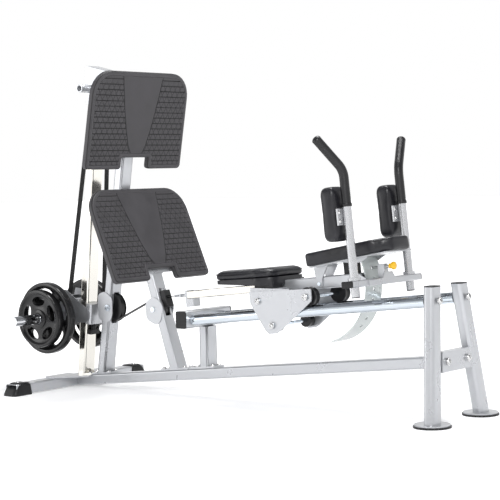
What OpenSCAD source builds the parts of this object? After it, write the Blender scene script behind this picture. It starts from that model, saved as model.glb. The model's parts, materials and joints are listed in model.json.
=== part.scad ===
// Plate-loaded leg press and hack squat machine: a carriage on two round rails
// pulls a belt that lifts a loaded weight carriage up a leaning guide post.
// Drawn in mm, +Z up, +X towards the A-frame, origin under the middle of the machine.

/* [Frame] */
// slope of the rails and of the main tube, degrees
rail_tilt = 5.8; // [4:0.1:8]
// lean of the guide post towards the A-frame, degrees
post_lean = 5.3; // [3:0.1:8]
// lean of the tower upright and the upper foot plate, degrees
tower_lean = 8.8; // [5:0.1:10]
// lean of the lower foot post away from the seat, degrees
foot_lean = 18.4; // [12:0.1:25]
// how much further the lower foot plate leans back than its post, degrees
lower_extra = 4.7; // [0:0.1:6]
// how much further the upper foot plate leans forward than the tower, degrees
upper_extra = 1.4; // [0:0.1:3]
// lean of the A-frame legs towards the seat, degrees
leg_lean = 4.8; // [2:0.1:8]
// sideways splay of each A-frame leg, degrees
leg_splay = 9; // [5:0.1:14]
// wall of the steel tubes
wall = 3; // [2:0.5:5]
// length of the rear cross tube
base_width = 900; // [700:10:1100]

/* [Rails and carriage] */
// outer radius of each round rail
rail_r = 24.15; // [20:0.05:30]
// distance of each rail from the centre plane
rail_y = 114; // [100:1:140]
// centre height of the roller axles above the rails
upper_z = 62.5; // [55:0.5:75]
// centre height of the lower roller axle, below the rails
lower_z = -49.5; // [-60:0.5:-40]

/* [Back support] */
// outer radius of the curved adjuster strap about the back pivot
strap_r = 262; // [230:1:300]
// width of the curved adjuster strap
strap_w = 120; // [60:5:124]
// angle between two holes of the strap, degrees
strap_step = 10; // [8:1:15]
// width of the back pad
back_w = 260; // [220:5:300]

/* [Weights] */
// radius of the loading sleeves
sleeve_r = 25; // [24:0.5:26]
// radius of the large plates
large_r = 177; // [150:1:225]
// radius of the small plates
small_r = 142; // [110:1:180]

/* [Foot plates] */
// width of both foot plates
plate_w = 668; // [500:10:760]
// height of both foot plates
plate_h = 467; // [350:5:520]
// thickness of both foot plates
plate_t = 28; // [20:1:40]

/* [Hidden] */
// half way between the back of the weights and the front of the feet
mid_x = 1028;
c_silver = [0.72, 0.73, 0.75];
c_chrome = [0.85, 0.85, 0.84];
c_black = [0.08, 0.08, 0.09];
c_rubber = [0.2, 0.2, 0.21];
c_yellow = [0.95, 0.75, 0.1];
post_base = [61, 0, 63];
tower_base = [197, 0, 70];
foot_base = [690, 0, 90];
rail_zero = [1118, 0, 398];
main_z0 = 26;
leg_round = 18;
belt_w = 28;
belt_t = 3;
top_pulley = [212, 1470];
low_pulley = [262, 401];
idler = [560, 404.3];
top_pulley_r = 53;
low_pulley_r = 66;
idler_r = 52;
pivot = [440, 112];
pin_z = 160;
spine_z = 116.4;
bar_x = 746;
bar_z = 100.5;
post_y = 209;
seat_front = [950, 552];
seat_tilt = 4.6;
belt_gap = 0.3;
plate_axis = [-139.8, 273.3];

// ---- frames -------------------------------------------------------------
module home() { translate([-mid_x, 0, 0]) children(); }
module on_rails() { home() translate(rail_zero) rotate([0, -rail_tilt, 0]) children(); }
module on_post() { home() translate(post_base) rotate([0, post_lean, 0]) children(); }
module on_tower() { home() translate(tower_base) rotate([0, tower_lean, 0]) children(); }
module on_foot() { home() translate(foot_base) rotate([0, -foot_lean, 0]) children(); }
module on_seat() {
  home() translate([seat_front[0], 0, seat_front[1]]) rotate([0, -seat_tilt, 0]) children();
}
module mirrored() {
  children();
  mirror([0, 1, 0]) children();
}

// ---- shapes -------------------------------------------------------------
module round_rect(a, b, r) {
  square([a - 2 * r, b], center = true);
  square([a, b - 2 * r], center = true);
  for (x = [-1, 1], y = [-1, 1]) {
    translate([x * (a / 2 - r), y * (b / 2 - r)]) circle(r = r, $fn = 32);
  }
}
module round_outline(p, r) {
  polygon(p);
  for (i = [0 : len(p) - 1]) {
    a = p[i];
    b = p[(i + 1) % len(p)];
    n = (r - 0.05) * [b[1] - a[1], a[0] - b[0]] / norm(b - a);
    polygon([a, a + n, b + n, b]);
    translate(a) circle(r = r, $fn = 48);
  }
}
module tube_z(a, b, h, r = 9, t = wall) {
  linear_extrude(h) difference() {
    round_rect(a, b, r);
    round_rect(a - 2 * t, b - 2 * t, r - t);
  }
}
module rod_y(r, w) { rotate([90, 0, 0]) cylinder(r = r, h = w, center = true, $fn = 48); }
module rod_x(r, l) { rotate([0, 90, 0]) cylinder(r = r, h = l, $fn = 48); }
module slab_y(p, y, t) { translate([0, y + t, 0]) rotate([90, 0, 0]) linear_extrude(t) polygon(p); }
module bolt_head(r, h) {
  cylinder(r = r, h = h * 0.6, $fn = 40);
  translate([0, 0, h * 0.6]) cylinder(r1 = r, r2 = r * 0.7, h = h * 0.4, $fn = 40);
}
// rubber or steel foot plate outline, width along x, height along y
module tread_outline() {
  big = 118;
  low = 22;
  notch = 93;
  rise = 56;
  difference() {
    union() {
      translate([0, plate_h / 2 - big / 2 + low / 2]) {
        square([plate_w, plate_h - big - low], center = true);
      }
      translate([0, plate_h - big / 2]) square([plate_w - 2 * big, big], center = true);
      translate([0, low / 2]) square([plate_w - 2 * low, low], center = true);
      for (s = [-1, 1]) {
        translate([s * (plate_w / 2 - big), plate_h - big]) circle(r = big, $fn = 96);
        translate([s * (plate_w / 2 - low), low]) circle(r = low, $fn = 32);
      }
    }
    translate([-notch, -1]) square([2 * notch, rise + 1]);
  }
}

// ---- frame --------------------------------------------------------------
module rear_cross_tube() {
  color(c_silver) home() {
    translate([0, base_width / 2, 30]) rotate([90, 0, 0]) tube_z(75, 50, base_width);
    for (s = [-1, 1]) {
      translate([0, 0, 55]) linear_extrude(8) {
        polygon([[-32, s * 38], [-32, s * 190], [34, s * 190], [135, s * 60], [135, s * 38]]);
      }
    }
  }
}
module rear_foot_boots() {
  color(c_black) home() mirrored() difference() {
    translate([0, base_width / 2 + 20, 0]) rotate([90, 0, 0]) {
      translate([0, 30]) linear_extrude(115) round_rect(92, 60, 10);
    }
    translate([0, base_width / 2, 30.15]) rotate([90, 0, 0]) {
      linear_extrude(200) round_rect(75.6, 50.3, 9);
    }
  }
}
module main_line() {
  home() translate([0, 0, main_z0]) rotate([0, -rail_tilt, 0]) children();
}
module main_tube() {
  color(c_silver) difference() {
    main_line() rotate([0, 90, 0]) tube_z(50, 75, 2300);
    home() translate([-162.4, -100, -100]) cube([200, 200, 400]);
    home() translate([2189, 0, 254]) rotate([0, -leg_lean, 0]) {
      translate([-25.1, -100, -200]) cube([400, 200, 400]);
    }
    main_bolts() cylinder(r = 5.3, h = 60, center = true, $fn = 32);
  }
}
// places for the flange bolts on the top of the main tube
main_bolt_x = [118, 158, 245, 615, 740, 800, 915];
module main_bolts() {
  for (x = main_bolt_x, y = [-24, 24]) {
    main_line() translate([x, y, 25]) children();
  }
}
module flange(x0, x1) {
  difference() {
    main_line() translate([x0, -37.5, 25]) cube([x1 - x0, 75, 8]);
    main_bolts() cylinder(r = 5.3, h = 40, center = true, $fn = 32);
  }
}
module above_main(h = 33) {
  main_line() translate([-200, -300, h]) cube([3000, 600, 2000]);
}
module guide_post() {
  color(c_chrome) {
    intersection() {
      on_post() translate([0, 0, -60]) tube_z(50, 75, 1402);
      above_main();
    }
    flange(42, 138);
  }
}
module tower_upright() {
  lobe = [[-20, -34], [10, -40], [16, -20], [16, 34], [-8, 48], [-20, 44]];
  color(c_silver) {
    difference() {
      union() {
        on_tower() translate([0, 0, -60]) tube_z(50, 75, 1448);
        home() translate([low_pulley[0] - 16, 0, low_pulley[1]]) {
          for (y = [42.4, -37.4]) {
            translate([0, y, 0]) rotate([90, 0, 0]) linear_extrude(5) round_outline(lobe, 29);
          }
        }
      }
      home() translate([low_pulley[0], 0, low_pulley[1]]) rod_y(low_pulley_r + 12, 36);
      home() translate([low_pulley[0], 0, low_pulley[1]]) rod_y(10.05, 100);
      main_line() translate([-200, -300, -400]) cube([1000, 600, 433]);
    }
    flange(141, 268);
  }
}
module tower_head() {
  px = top_pulley[0];
  pz = top_pulley[1];
  side = [[px - 62, pz - 72], [px + 160, pz - 72], [px + 236, pz - 40], [px + 236, pz + 44],
    [px - 50, pz + 116], [px - 62, pz + 104]];
  color(c_silver) home() {
    difference() {
      for (y = [37.8, -42.8]) slab_y(side, y, 5);
      translate([px, 0, pz]) rod_y(8.05, 100);
    }
    slab_y([[px - 50, pz + 116], [px + 236, pz + 44], [px + 236, pz + 38],
      [px - 50, pz + 110]], -37.8, 75.6);
    mirrored() translate([px, 148, pz]) rotate([90, 0, 0]) linear_extrude(105) difference() {
      circle(r = 20, $fn = 48);
      circle(r = 14, $fn = 48);
    }
  }
}
module lower_foot_post() {
  lobe = [[-10, -24], [14, -34], [24, 8], [2, 22], [-12, 12]];
  color(c_silver) {
    intersection() {
      difference() {
        union() {
          on_foot() translate([0, 0, -60]) tube_z(50, 75, 620);
          home() translate([idler[0], 0, idler[1]]) for (y = [42.4, -37.4]) {
            translate([0, y, 0]) rotate([90, 0, 0]) linear_extrude(5) round_outline(lobe, 36);
          }
        }
        home() translate([idler[0], 0, idler[1] + 22]) rod_y(idler_r + 28, 36);
        home() translate([idler[0], 0, idler[1]]) rod_y(8.05, 100);
      }
      above_main();
    }
    flange(602, 778);
  }
}
module rail_support_post() {
  color(c_silver) {
    intersection() {
      home() translate([865, 0, 60]) tube_z(50, 75, 276);
      above_main();
    }
    flange(783, 935);
  }
}
module rail_cross_tube() {
  color(c_silver) home() translate([842, 160, 376]) rotate([90, 0, 0]) {
    tube_z(60, 80, 320);
  }
}
module guide_rails() {
  color(c_chrome) on_rails() for (s = [-1, 1]) {
    translate([-244.5, s * rail_y, 0]) difference() {
      rod_x(rail_r, 1270);
      translate([-1, 0, 0]) rod_x(rail_r - 4, 1272);
    }
  }
}
module leg_frame() {
  home() translate([2210, -195, 0]) rotate([0, -leg_lean, 0]) rotate([-leg_splay, 0, 0]) {
    children();
  }
}
module a_frame_legs() {
  color(c_silver) mirrored() intersection() {
    leg_frame() translate([0, 0, -40]) tube_z(50, 75, 660, leg_round);
    home() translate([1900, -400, 14]) cube([600, 800, 550]);
  }
}
module a_frame_crossmember() {
  color(c_silver) home() translate([2189, 0, 254]) rotate([0, -leg_lean, 0]) {
    difference() {
      translate([-25, 0, 0]) rotate([90, 0, 90]) linear_extrude(50) {
        polygon([[-122, -42], [122, -42], [109, 42], [-109, 42]]);
      }
      translate([-20, 0, 0]) rotate([90, 0, 90]) linear_extrude(40) {
        square([200, 74], center = true);
      }
    }
  }
}
module a_frame_foot_plates() {
  color(c_silver) home() mirrored() translate([2207, -192, 8]) cylinder(r = 74, h = 6, $fn = 96);
}
module a_frame_foot_pads() {
  color(c_black) home() mirrored() translate([2207, -192, 0]) cylinder(r = 79, h = 8, $fn = 96);
}
module frame_end_caps() {
  color(c_black) {
    home() mirrored() translate([842, 166, 376]) rotate([90, 0, 0]) {
      linear_extrude(6) round_rect(60, 80, 9);
    }
    mirrored() intersection() {
      leg_frame() translate([0, 0, 400]) linear_extrude(300) round_rect(50, 75, leg_round);
      home() translate([1900, -400, 564]) cube([600, 800, 4]);
    }
  }
}
module frame_bolts() {
  color(c_chrome) {
    main_bolts() translate([0, 0, 8]) bolt_head(10, 7);
    main_bolts() translate([0, 0, -8]) cylinder(r = 5, h = 16, $fn = 32);
    for (s = [-1, 1]) {
      on_rails() translate([1086.5, s * rail_y, 0]) rotate([0, 90 + leg_lean - rail_tilt, 0]) {
        bolt_head(14, 8);
      }
      home() translate([2189, s * 80, 254]) rotate([0, -leg_lean, 0]) {
        translate([25, 0, 0]) rotate([0, 90, 0]) bolt_head(15, 9);
      }
    }
  }
}

// ---- foot plates --------------------------------------------------------
module upper_plate_frame() {
  on_tower() translate([42.5, 0, 1028.6]) rotate([0, upper_extra, 0]) children();
}
module lower_plate_frame() {
  on_foot() translate([39, 0, 464]) rotate([0, -lower_extra, 0]) children();
}
module tread() { rotate([90, 0, 90]) linear_extrude(plate_t) tread_outline(); }
module upper_foot_plate() { color(c_rubber) upper_plate_frame() tread(); }
module lower_foot_plate() { color(c_rubber) lower_plate_frame() tread(); }
module foot_plate_brackets() {
  color(c_silver) {
    on_tower() translate([25, -37, 1110]) cube([18, 74, 170]);
    upper_plate_frame() translate([-6, -140, 80]) cube([6, 280, 300]);
    on_foot() translate([25, -37, 500]) cube([4, 74, 50]);
    lower_plate_frame() translate([-6, -140, 40]) cube([6, 280, 320]);
  }
}

// ---- belt and pulleys ---------------------------------------------------
module pulley(at, r, bore) {
  home() translate([at[0], 0, at[1]]) rotate([90, 0, 0]) rotate_extrude($fn = 96) {
    polygon([[bore, -16], [r + 5, -16], [r + 5, -14.4], [r, -14.2], [r, 14.2],
      [r + 5, 14.4], [r + 5, 16], [bore, 16]]);
  }
}
module top_pulley() { color(c_black) pulley(top_pulley, top_pulley_r, 8.05); }
module lower_pulley() { color(c_black) pulley(low_pulley, low_pulley_r, 10.05); }
module idler_pulley() { color(c_black) pulley(idler, idler_r, 8.05); }
module axle(at, r, w, head) {
  home() translate([at[0], 0, at[1]]) {
    rod_y(r, w);
    for (s = [-1, 1]) translate([0, s * (w / 2 + 3), 0]) rod_y(head, 6);
  }
}
module pulley_axles() {
  color(c_chrome) {
    axle(top_pulley, 8, 85.8, 13);
    axle(low_pulley, 10, 84.8, 16);
    axle(idler, 8, 84.8, 13);
  }
}
// flat belt between two points of the centre plane
module strip(a, b) {
  d = b - a;
  home() translate([a[0], 0, a[1]]) rotate([0, -atan2(d[1], d[0]), 0]) {
    translate([belt_gap, -belt_w / 2, -belt_t / 2]) cube([norm(d) - 2 * belt_gap, belt_w, belt_t]);
  }
}
// belt lying on a pulley from angle a0 over an angle da
module wrap(at, r, a0, da) {
  home() translate([at[0], 0, at[1]]) rotate([90, 0, 0]) rotate([0, 0, a0]) {
    rotate_extrude(angle = da, $fn = 96) {
      translate([r + 0.3, -belt_w / 2]) square([belt_t, belt_w]);
    }
  }
}
function on_rim(at, r, a) = at + (r + 0.3 + belt_t / 2) * [cos(a), sin(a)];
rear_a = 168.4;
front_a = -3.4;
low_a = 176.6;
out_a = -68;
idler_in = 112;
idler_out = 90 + rail_tilt;
clamp_at = [-38, 456];
module belt_upper_run() {
  color(c_black) {
    wrap(top_pulley, top_pulley_r, front_a, rear_a - front_a);
    strip(on_rim(low_pulley, low_pulley_r, low_a), on_rim(top_pulley, top_pulley_r, front_a));
    wrap(low_pulley, low_pulley_r, low_a, 360 + out_a - low_a);
    strip(on_rim(low_pulley, low_pulley_r, out_a), on_rim(idler, idler_r, idler_in));
    wrap(idler, idler_r, idler_out, idler_in - idler_out);
  }
}
module belt_rear_run() {
  color(c_black) strip(clamp_at, on_rim(top_pulley, top_pulley_r, rear_a));
}
tie_start = on_rim(idler, idler_r, idler_out);
tie_end = tie_start + 150 * [cos(rail_tilt), sin(rail_tilt)];
module belt_front_run() { color(c_black) strip(tie_start, tie_end); }
module stop_bumpers() {
  color(c_black) {
    difference() {
      on_foot() {
        translate([34, -22, 330]) cube([21, 44, 82]);
        translate([25, -22, 370]) cube([10, 44, 42]);
      }
      on_rails() translate([-600, -15.5, spine_z - 6]) cube([140, 31, 12]);
    }
    on_post() {
      translate([25, -30, 205]) cube([26, 60, 20]);
      translate([38, 0, 225]) cylinder(r = 13, h = 33, $fn = 40);
    }
  }
}

// ---- weight carriage ----------------------------------------------------
module weight_slider() {
  color(c_silver) on_post() {
    translate([44.2, 0, 258.2]) linear_extrude(100) round_rect(38, 104, 12);
    for (z = [262, 352]) translate([-62, -52, z]) cube([36.7, 104, 22]);
    translate([plate_axis[0], 0, plate_axis[1]]) rod_y(34, 104);
  }
}
module weight_side_plates() {
  outline = [[58, 286], [58, 314], [44, 332], [-104, 410], [-150, 410], [-176, 290],
    [-176, 250], [-140, 236], [40, 268]];
  color(c_rubber) on_post() for (y = [52, -58]) slab_y(outline, y, 6);
}
module loading_sleeves() {
  color(c_chrome) on_post() mirrored() translate([plate_axis[0], 0, plate_axis[1]]) {
    translate([0, -118.5, 0]) rod_y(40, 12);
    translate([0, -217, 0]) difference() {
      rod_y(sleeve_r, 318);
      translate([0, -1.5, 0]) difference() {
        rod_y(30, 3);
        rod_y(sleeve_r - 1, 4);
      }
    }
  }
}
module belt_clamp() {
  color(c_chrome) home() translate([clamp_at[0], 0, clamp_at[1]]) rotate([0, 11.4, 0]) {
    translate([2, -51.7, -28]) cube([10, 103.4, 26]);
    translate([-9.5, -20, -28]) cube([8, 40, 26]);
  }
}
module weight_plate(r, y0, t) {
  translate([plate_axis[0], -y0 - t / 2, plate_axis[1]]) difference() {
    rod_y(r, t);
    rod_y(sleeve_r + 0.3, t + 2);
    for (i = [0 : 4]) rotate([0, 90 + 72 * i, 0]) translate([r * 0.65, 0, 0]) {
      rod_y(r * 0.17, t + 2);
    }
  }
}
module weight_pair() {
  weight_plate(large_r, 124.8, 45);
  weight_plate(small_r, 170.1, 45);
}
module weights_left() { color(c_black) on_post() weight_pair(); }
module weights_right() { color(c_black) on_post() mirror([0, 1, 0]) weight_pair(); }

// ---- carriage -----------------------------------------------------------
module start_tube() {
  color(c_chrome) on_rails() difference() {
    translate([-345, 0, spine_z]) rotate([0, 90, 0]) tube_z(38, 50, 455, 5);
    for (i = [0 : 4]) translate([70 - 50 * i, 25, spine_z]) rod_y(5.2, 20);
  }
}
module start_block() {
  color(c_silver) on_rails() {
    difference() {
      translate([-357, -25, 60]) cube([12, 50, 78]);
      translate([-360, 0, spine_z]) rod_x(6.2, 20);
    }
    translate([-345, -25, 60]) cube([34, 50, spine_z - 19 - 60]);
    translate([-402, 0, spine_z]) rod_x(6, 67);
    translate([-376, 0, spine_z]) rotate([0, 90, 0]) cylinder(r = 11, h = 12, $fn = 6);
    translate([-402, -17, spine_z - 8]) cube([8, 34, 16]);
    for (z = [1.8, -7.8]) translate([-432, -17, spine_z + z]) cube([30, 34, 6]);
  }
}
module start_pin() {
  color(c_black) on_rails() translate([120, 0, spine_z]) {
    translate([0, 46, 0]) rod_y(5, 40);
    translate([0, 73, 0]) rod_y(7.5, 16);
  }
}
module carriage_side_plates() {
  outline = [[128, 106], [128, 55], [200, -72], [216, -86], [258, -86], [280, -76],
    [462, 40], [468, 56], [468, 96]];
  color(c_silver) on_rails() {
    difference() {
      for (y = [142, -148]) slab_y(outline, y, 6);
      for (p = [[173, upper_z], [436, upper_z], [240, lower_z]]) {
        translate([p[0], 0, p[1]]) rod_y(8.2, 400);
      }
    }
    translate([128, -142, 84.2]) cube([8, 284, 5.2]);
    translate([300, -142, 84.2]) cube([22, 284, 5.2]);
  }
}
module carriage_spine() {
  color(c_silver) on_rails() difference() {
    union() {
      translate([112, 0, spine_z]) rotate([0, 90, 0]) tube_z(54, 66, 546, 8, 7.8);
      for (s = [-1, 1]) {
        translate([128, s * 86 - 53.2, 89.4]) cube([5, 106.4, 34]);
        translate([130, s * 84 - 51.2, 107]) cube([120, 102.4, 5]);
        slab_y([[128, 89.4], [345, 89.4], [345, 104], [250, 112], [128, 124]], s * 136.1 - 3, 6);
        translate([600, s * 52.4 - 19.6, 98]) cube([52, 39.2, 38]);
      }
    }
    translate([120, 33, spine_z]) rod_y(5.05, 40);
    translate([pivot[0], 0, pivot[1]]) rod_y(8, 100);
  }
}
module roller_axles() {
  color(c_chrome) on_rails() {
    for (p = [[173, upper_z], [436, upper_z], [240, lower_z]]) {
      translate([p[0], 0, p[1]]) {
        rod_y(8, 300);
        for (s = [-1, 1]) translate([0, s * 153, 0]) rod_y(12, 7);
      }
    }
    translate([pivot[0], 0, pivot[1]]) rod_y(8, 92);
  }
}
module roller(x, z, r, w) {
  translate([x, rail_y, z]) rotate([90, 0, 0]) translate([0, 0, -w / 2]) {
    rotate_extrude($fn = 96) translate([0, w / 2]) difference() {
      translate([8.05, -w / 2]) square([r + 4 - 8.05, w]);
      translate([abs(z), 0]) circle(r = rail_r + 0.4, $fn = 64);
    }
  }
}
module front_rollers() { color(c_black) on_rails() mirrored() roller(173, upper_z, 38, 36); }
module rear_rollers() { color(c_black) on_rails() mirrored() roller(436, upper_z, 38, 36); }
module lower_rollers() { color(c_black) on_rails() mirrored() roller(240, lower_z, 25, 36); }
seat_outline = [[60, 14], [60, -14], [318, -92], [345, -80], [345, 80], [318, 92]];
module seat_plan(grow) {
  round_outline(seat_outline, 58 + grow);
}
module seat_base() {
  color(c_black) {
    difference() {
      on_seat() translate([0, 0, -50]) linear_extrude(50) seat_plan(-4);
      on_seat() translate([-50, -200, -14]) rotate([0, 2.8, 0]) translate([0, 0, -100]) {
        cube([600, 400, 100]);
      }
      on_rails() translate([80, -33.4, 60]) cube([240, 66.8, 83.7]);
    }
    on_rails() for (s = [-1, 1]) translate([140, s * 82.5 - 37.5, 112]) cube([100, 75, 36]);
  }
}
module seat_pad() { color(c_black) on_seat() linear_extrude(44) seat_plan(0); }
module carriage_crossbar() {
  color(c_silver) on_rails() difference() {
    union() {
      translate([bar_x, 262, bar_z]) rotate([90, 0, 0]) tube_z(57, 29, 524, 6);
      for (y = [72.1, -78.1]) slab_y([[590, 98], [720, 88], [720, 113], [680, 140], [590, 140]],
        y, 6);
      translate([bar_x + 28.5, 0, 0]) rotate([90, 0, 90]) linear_extrude(6) {
        polygon([[-150, 88], [150, 88], [150, 108], [46, 114], [30, 138], [-30, 138],
          [-46, 114], [-150, 108]]);
      }
    }
    for (s = [-1, 1]) translate([bar_x, s * post_y, 0]) cylinder(r = 18.55, h = 300, $fn = 64);
  }
}
module pin_housing() {
  color(c_silver) on_rails() difference() {
    union() {
      translate([736, -15, 115]) cube([34, 30, 58]);
      translate([770, 0, pin_z]) rod_x(11, 4);
    }
    translate([730, 0, pin_z]) rod_x(6.05, 60);
  }
}
module back_pin() {
  color(c_chrome) on_rails() translate([699, 0, pin_z]) rod_x(6, 106);
}
module back_pin_knob() {
  color(c_yellow) on_rails() translate([790, 0, pin_z]) difference() {
    union() {
      rod_x(13, 12);
      translate([12, 0, 0]) rod_x(17.2, 16);
    }
    translate([-1, 0, 0]) rod_x(6, 16);
  }
}
module back_rest_bumper() {
  color(c_black) on_rails() translate([570, -30, 143.4]) cube([50, 60, 52.6]);
}

// ---- back support -------------------------------------------------------
back_tilt = 4.9;
module on_back() {
  on_rails() translate([pivot[0], 0, pivot[1]]) rotate([0, -back_tilt, 0]) children();
}
module back_frame() {
  color(c_silver) on_back() difference() {
    union() {
      for (y = [34, -40]) slab_y([[-14, -14], [14, -14], [18, 20], [60, 73.1], [-16, 73.1]],
        y, 6);
      translate([4, -100, 73]) cube([406, 200, 5]);
      for (y = [60.3, -66.3]) slab_y([[150, 73.1], [300, 73.1], [258, 56], [222, 56]], y, 6);
    }
    rod_y(8.05, 120);
  }
}
module back_pad() {
  w = back_w / 2 - 30;
  color(c_black) on_back() translate([0, 0, 78]) linear_extrude(62) {
    round_outline([[30, -w], [350, -w], [402, -48], [402, 48], [350, w], [30, w]], 30);
  }
}
module strap_arc(a0, a1) {
  rotate([0, 0, a0]) rotate_extrude(angle = a1 - a0, $fn = 128) {
    translate([strap_r - 6, -strap_w / 2]) square([6, strap_w]);
  }
}
module back_strap() {
  top = asin(72.8 / strap_r) + back_tilt;
  tip = -86;
  color(c_silver) on_rails() translate([pivot[0], 0, pivot[1]]) rotate([90, 0, 0]) difference() {
    strap_arc(tip, top);
    for (s = [-1, 1]) {
      rotate([0, 0, tip]) translate([strap_r, 0, s * strap_w / 2]) rotate([s * 45, 0, 0]) {
        cube([60, 48, 48], center = true);
      }
    }
    for (i = [0 : 6]) {
      rotate([0, 0, asin((pin_z - pivot[1]) / strap_r) - strap_step * i]) {
        rotate([0, 90, 0]) translate([0, 0, strap_r - 40]) cylinder(r = 7.7, h = 80, $fn = 40);
      }
    }
  }
}

// ---- shoulder posts -----------------------------------------------------
bend_at = 579;
bend_a = 41.6;
bend_turn = 110.5;
module handle(r, low) {
  translate([0, 0, low]) cylinder(r = r, h = bend_at - low, $fn = 64);
  translate([0, 0, bend_at]) {
    sphere(r = r, $fn = 64);
    rotate([0, 0, -bend_turn]) rotate([0, bend_a, 0]) cylinder(r = r, h = 190, $fn = 64);
  }
}
module at_post(side) {
  on_rails() translate([bar_x, -side * post_y, 0]) scale([1, side, 1]) children();
}
module shoulder_post(side) {
  color(c_silver) at_post(side) {
    translate([0, 0, 46]) cylinder(r = 18.5, h = 380, $fn = 64);
    translate([0, 0, bar_z + 14.6]) cylinder(r = 27, h = 12, $fn = 64);
    translate([-26, -45, 350]) cube([8, 90, 70]);
  }
}
module shoulder_pad(side) {
  color(c_black) at_post(side) translate([-112, 0, 282]) linear_extrude(235) {
    round_outline([[28, -30], [60, -30], [60, 30], [28, 30]], 26);
  }
}
module shoulder_grip(side) { color(c_rubber) at_post(side) handle(20.5, 426); }
module shoulder_post_right() { shoulder_post(1); }
module shoulder_post_left() { shoulder_post(-1); }
module shoulder_grip_right() { shoulder_grip(1); }
module shoulder_grip_left() { shoulder_grip(-1); }
module shoulder_pad_right() { shoulder_pad(1); }
module shoulder_pad_left() { shoulder_pad(-1); }

// ---- drawing ------------------------------------------------------------
rear_cross_tube();
rear_foot_boots();
main_tube();
guide_post();
tower_upright();
tower_head();
lower_foot_post();
rail_support_post();
rail_cross_tube();
frame_end_caps();
guide_rails();
a_frame_legs();
a_frame_crossmember();
a_frame_foot_plates();
a_frame_foot_pads();
frame_bolts();
upper_foot_plate();
lower_foot_plate();
foot_plate_brackets();
pulley_axles();
top_pulley();
lower_pulley();
idler_pulley();
belt_upper_run();
belt_rear_run();
belt_front_run();
stop_bumpers();
weight_slider();
weight_side_plates();
loading_sleeves();
belt_clamp();
weights_left();
weights_right();
start_tube();
start_block();
start_pin();
carriage_side_plates();
carriage_spine();
roller_axles();
front_rollers();
rear_rollers();
lower_rollers();
seat_base();
seat_pad();
carriage_crossbar();
pin_housing();
back_pin();
back_pin_knob();
back_rest_bumper();
back_frame();
back_pad();
back_strap();
shoulder_post_left();
shoulder_post_right();
shoulder_grip_left();
shoulder_grip_right();
shoulder_pad_left();
shoulder_pad_right();
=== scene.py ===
import json
import math

import bmesh
import bpy
import numpy as np
from mathutils import Matrix, Vector


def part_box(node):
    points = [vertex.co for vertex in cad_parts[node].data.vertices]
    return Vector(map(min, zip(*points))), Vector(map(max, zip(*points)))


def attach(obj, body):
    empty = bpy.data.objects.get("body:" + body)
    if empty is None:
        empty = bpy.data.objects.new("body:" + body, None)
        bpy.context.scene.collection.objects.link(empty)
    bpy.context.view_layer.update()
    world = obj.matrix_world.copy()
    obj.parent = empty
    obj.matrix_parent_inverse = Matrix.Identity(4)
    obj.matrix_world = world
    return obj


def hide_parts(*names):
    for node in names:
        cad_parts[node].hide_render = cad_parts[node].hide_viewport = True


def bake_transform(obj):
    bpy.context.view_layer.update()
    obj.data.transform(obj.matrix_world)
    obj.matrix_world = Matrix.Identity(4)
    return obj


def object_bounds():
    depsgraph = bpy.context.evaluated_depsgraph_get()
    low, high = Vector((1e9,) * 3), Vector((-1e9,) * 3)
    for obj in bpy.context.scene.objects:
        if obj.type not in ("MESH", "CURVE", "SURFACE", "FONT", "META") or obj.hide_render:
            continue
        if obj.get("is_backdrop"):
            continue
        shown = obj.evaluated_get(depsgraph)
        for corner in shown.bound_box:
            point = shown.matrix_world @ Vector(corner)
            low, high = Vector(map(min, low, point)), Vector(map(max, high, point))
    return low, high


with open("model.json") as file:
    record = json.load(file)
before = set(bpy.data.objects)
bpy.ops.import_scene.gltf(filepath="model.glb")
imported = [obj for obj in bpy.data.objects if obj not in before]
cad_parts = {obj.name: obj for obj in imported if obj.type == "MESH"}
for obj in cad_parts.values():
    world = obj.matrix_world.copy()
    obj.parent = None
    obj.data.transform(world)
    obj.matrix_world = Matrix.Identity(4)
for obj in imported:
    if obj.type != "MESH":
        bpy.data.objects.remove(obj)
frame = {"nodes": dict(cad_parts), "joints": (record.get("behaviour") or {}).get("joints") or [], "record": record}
cad_lo, cad_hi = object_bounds()
nodes = frame["nodes"]
UP = Vector((0, 0, 1))
ACROSS = Vector((0, 1, 0))


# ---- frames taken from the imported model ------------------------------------
def joint(name):
    """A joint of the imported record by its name."""
    return next(j for j in frame["joints"] if j["name"] == name)


class Axes:
    """Slanted axes: x along, y across the machine, z square to both."""

    def __init__(self, origin, x=None, z=None):
        self.o = Vector(origin)
        if x is not None:
            self.x = Vector(x).normalized()
            self.z = self.x.cross(ACROSS)
        else:
            self.z = Vector(z).normalized()
            self.x = ACROSS.cross(self.z)
        self.y = ACROSS.copy()

    def at(self, x, y, z):
        """A point of these axes in the row frame."""
        return self.o + self.x * x + self.y * y + self.z * z

    def span(self, node):
        """Lowest and highest value of a node along each of these axes."""
        co = np.array([v.co - self.o for v in nodes[node].data.vertices])
        out = []
        for axis in (self.x, self.y, self.z):
            d = co @ np.array(axis)
            out.append((float(d.min()), float(d.max())))
        return out

    def moved(self, x, y, z):
        """The same axes with their origin at a point given in these axes."""
        return Axes(self.at(x, y, z), x=self.x)


def facing(node, near):
    """The direction of the largest flat side of a node that looks roughly along near."""
    area = {}
    for p in nodes[node].data.polygons:
        n = p.normal
        if n.dot(Vector(near)) > 0.6:
            key = tuple(round(c, 2) for c in n)
            area[key] = area.get(key, Vector()) + n * p.area
    return max(area.values(), key=lambda v: v.length).normalized()


def centre(node):
    """Middle of a node's box."""
    lo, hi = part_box(node)
    return (lo + hi) / 2


# ---- materials ---------------------------------------------------------------
def new_material(name):
    """A node material, its tree and its main shader."""
    m = bpy.data.materials.new(name)
    m.use_nodes = True
    t = m.node_tree
    return m, t, t.nodes["Principled BSDF"]


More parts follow.
